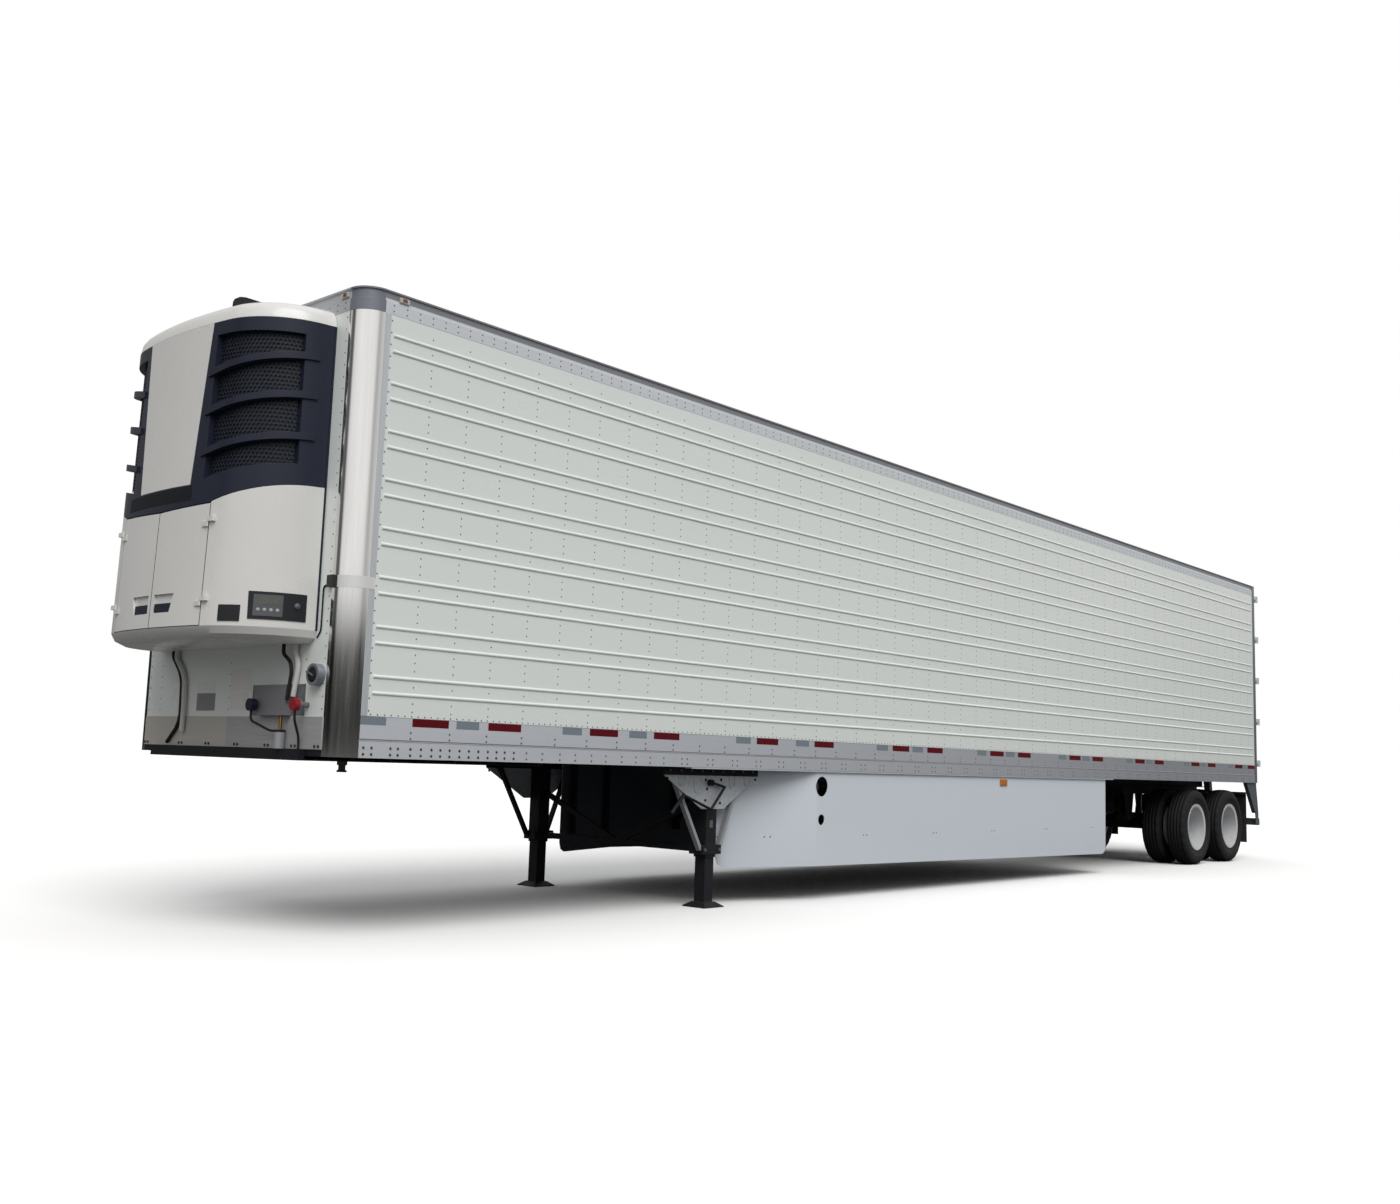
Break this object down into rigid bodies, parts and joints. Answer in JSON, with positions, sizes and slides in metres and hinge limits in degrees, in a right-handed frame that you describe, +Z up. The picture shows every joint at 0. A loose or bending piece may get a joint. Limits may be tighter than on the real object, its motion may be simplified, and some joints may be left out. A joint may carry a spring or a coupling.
{
  "type": "refrigerated semi trailer",
  "caption": "Refrigerated van semi trailer on landing legs, with swing rear doors, side skirts, a sliding tandem on twin wheels and a cooling unit on its nose.",
  "frame": {"origin": "middle of the outline on the ground, under the trailer's centre line", "axes": "+X to the trailer's left side, +Y from the nose to the rear doors, +Z up"},
  "size_m": [2.606, 16.8308, 4.1158],
  "materials": {
    "white_sheet": "gloss white painted sheet",
    "rail_aluminium": "mill finish extrusion",
    "bright_steel": "polished stainless steel",
    "stainless": "brushed stainless steel",
    "black_steel": "black chassis paint",
    "galvanised": "galvanised sheet",
    "skirt_panel": "white fibre panel",
    "unit_white": "moulded white panel",
    "unit_black": "moulded black panel",
    "rubber": "black rubber",
    "tyre": "tyre rubber",
    "wheel_white": "white painted wheel",
    "tank_aluminium": "plain aluminium",
    "kingpin_steel": "forged steel",
    "floor_aluminium": "extruded duct floor",
    "amber_lens": "amber lens",
    "red_lens": "red lens",
    "grey_fitting": "grey fittings",
    "cable_black": "cable sleeve"
  },
  "bodies": {
    "trailer": {"side_walls": "white_sheet", "front_wall": "white_sheet", "corner_posts": "bright_steel", "kick_plate": "stainless", "floor": "floor_aluminium", "underfloor_beams": "rail_aluminium", "bottom_rails": "rail_aluminium", "top_rails": "rail_aluminium", "front_header": "rail_aluminium", "roof": "white_sheet", "rear_posts": "stainless", "rear_header": "stainless", "rear_sill": "stainless", "door_mountings": "stainless", "upper_coupler": "black_steel", "kingpin": "kingpin_steel", "landing_legs": "black_steel", "landing_feet": "black_steel", "leg_wing_plates": "galvanised", "leg_braces": "black_steel", "leg_crank": "black_steel", "side_skirts": "skirt_panel", "skirt_stays": "black_steel", "fuel_tank": "tank_aluminium", "body_rails": "black_steel", "rear_guard": "black_steel", "unit_frame": "unit_black", "unit_base_pan": "unit_white", "unit_top_cap": "unit_white", "unit_front_panel": "unit_white", "unit_side_panels": "unit_white", "unit_grille": "unit_black", "unit_fittings": "unit_black", "conduits": "cable_black", "unit_engine": "kingpin_steel", "front_fittings": "grey_fitting", "amber_lamps": "amber_lens", "red_lamps": "red_lens"},
    "slider": {"slider_frame": "black_steel", "trailing_arms": "black_steel", "air_springs": "rubber", "shock_absorbers": "black_steel", "axles": "black_steel", "air_brake_gear": "black_steel", "mud_flaps": "rubber"},
    "rear_door_left": {"door_left": "white_sheet", "door_gear_left": "stainless"},
    "rear_door_right": {"door_right": "white_sheet", "door_gear_right": "stainless"},
    "unit_left_door": {"unit_door_left": "unit_white"},
    "unit_right_door": {"unit_door_right": "unit_white"},
    "wheel_front_left": {"tyres_front_left": "tyre", "wheels_front_left": "wheel_white"},
    "wheel_front_right": {"tyres_front_right": "tyre", "wheels_front_right": "wheel_white"},
    "wheel_rear_left": {"tyres_rear_left": "tyre", "wheels_rear_left": "wheel_white"},
    "wheel_rear_right": {"tyres_rear_right": "tyre", "wheels_rear_right": "wheel_white"}
  },
  "joints": [
    {"name": "tandem_slide", "type": "slide", "parent": "trailer", "child": "slider", "axis": [0, -1, 0], "range_m": [0, 2.1]},
    {"name": "wheel_front_left_spin", "type": "hinge", "parent": "slider", "child": "wheel_front_left", "pos_m": [0.984, 5.9255, 0.508], "axis": [1, 0, 0], "continuous": true},
    {"name": "wheel_front_right_spin", "type": "hinge", "parent": "slider", "child": "wheel_front_right", "pos_m": [-0.984, 5.9255, 0.508], "axis": [1, 0, 0], "continuous": true},
    {"name": "wheel_rear_left_spin", "type": "hinge", "parent": "slider", "child": "wheel_rear_left", "pos_m": [0.984, 7.1715, 0.508], "axis": [1, 0, 0], "continuous": true},
    {"name": "wheel_rear_right_spin", "type": "hinge", "parent": "slider", "child": "wheel_rear_right", "pos_m": [-0.984, 7.1715, 0.508], "axis": [1, 0, 0], "continuous": true},
    {"name": "rear_door_left_hinge", "type": "hinge", "parent": "trailer", "child": "rear_door_left", "pos_m": [1.29, 8.4025, 2.67], "axis": [0, 0, -1], "range_deg": [0, 270]},
    {"name": "rear_door_right_hinge", "type": "hinge", "parent": "trailer", "child": "rear_door_right", "pos_m": [-1.29, 8.4025, 2.67], "axis": [0, 0, 1], "range_deg": [0, 270]},
    {"name": "unit_left_door_hinge", "type": "hinge", "parent": "trailer", "child": "unit_left_door", "pos_m": [0.559, -8.369, 2.3], "axis": [0, 0.024, 0.9997], "range_deg": [0, 100]},
    {"name": "unit_right_door_hinge", "type": "hinge", "parent": "trailer", "child": "unit_right_door", "pos_m": [-0.559, -8.369, 2.3], "axis": [0, -0.024, -0.9997], "range_deg": [0, 100]}
  ]
}
